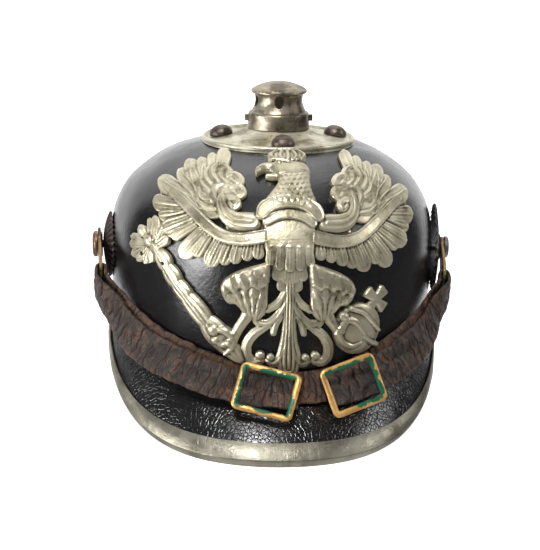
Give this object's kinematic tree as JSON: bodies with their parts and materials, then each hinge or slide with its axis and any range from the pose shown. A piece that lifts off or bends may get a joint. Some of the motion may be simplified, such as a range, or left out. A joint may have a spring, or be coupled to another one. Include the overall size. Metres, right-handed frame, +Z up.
{
  "type": "pickelhaube",
  "caption": "Lacquered leather infantry helmet without its spike: domed skull, front and rear visors, crown plate with vent neck, eagle plate and folded chin strap.",
  "frame": {"origin": "middle of the helmet in plan, on the level surface that the lower edges of the two visors rest on", "axes": "+X to the right seen from the front (the wearer's left), -Y to the front of the helmet, +Z up along the vent neck"},
  "size_m": [0.196, 0.2712, 0.172],
  "materials": {
    "black_lacquer": "black lacquer on pebbled leather, glossy and worn",
    "visor_lacquer": "black lacquer with fine crackle, satin gloss",
    "aged_nickel": "nickel-silver colour, dulled and browned in the hollows",
    "pale_nickel": "pale nickel-silver colour, satin with scratches",
    "dark_nickel": "dark browned metal with bright worn tops",
    "black_tin": "black painted tin, fluted, rubbed at the ridges",
    "green_brass": "dull brass with green tarnish",
    "buckle_brass": "worn brass, brown and green in the corners",
    "strap_leather": "dry dark brown leather, cross-cracked, with red-brown cut edges"
  },
  "bodies": {
    "root": {"shell_front_left": "black_lacquer", "shell_front_right": "black_lacquer", "shell_rear_left": "black_lacquer", "shell_rear_right": "black_lacquer", "front_visor": "visor_lacquer", "front_visor_trim": "aged_nickel", "rear_visor": "visor_lacquer", "rear_spine": "aged_nickel", "base_plate": "pale_nickel", "vent_neck": "aged_nickel", "base_stud_front": "dark_nickel", "base_stud_right": "dark_nickel", "base_stud_back": "dark_nickel", "base_stud_left": "dark_nickel", "side_post_left": "dark_nickel", "side_post_right": "dark_nickel", "cockade_left": "black_tin", "cockade_right": "black_tin", "strap_lug_left": "green_brass", "strap_lug_right": "green_brass", "chin_strap": "strap_leather", "buckle_left": "buckle_brass", "buckle_right": "buckle_brass", "front_plate": "aged_nickel"}
  },
  "joints": []
}
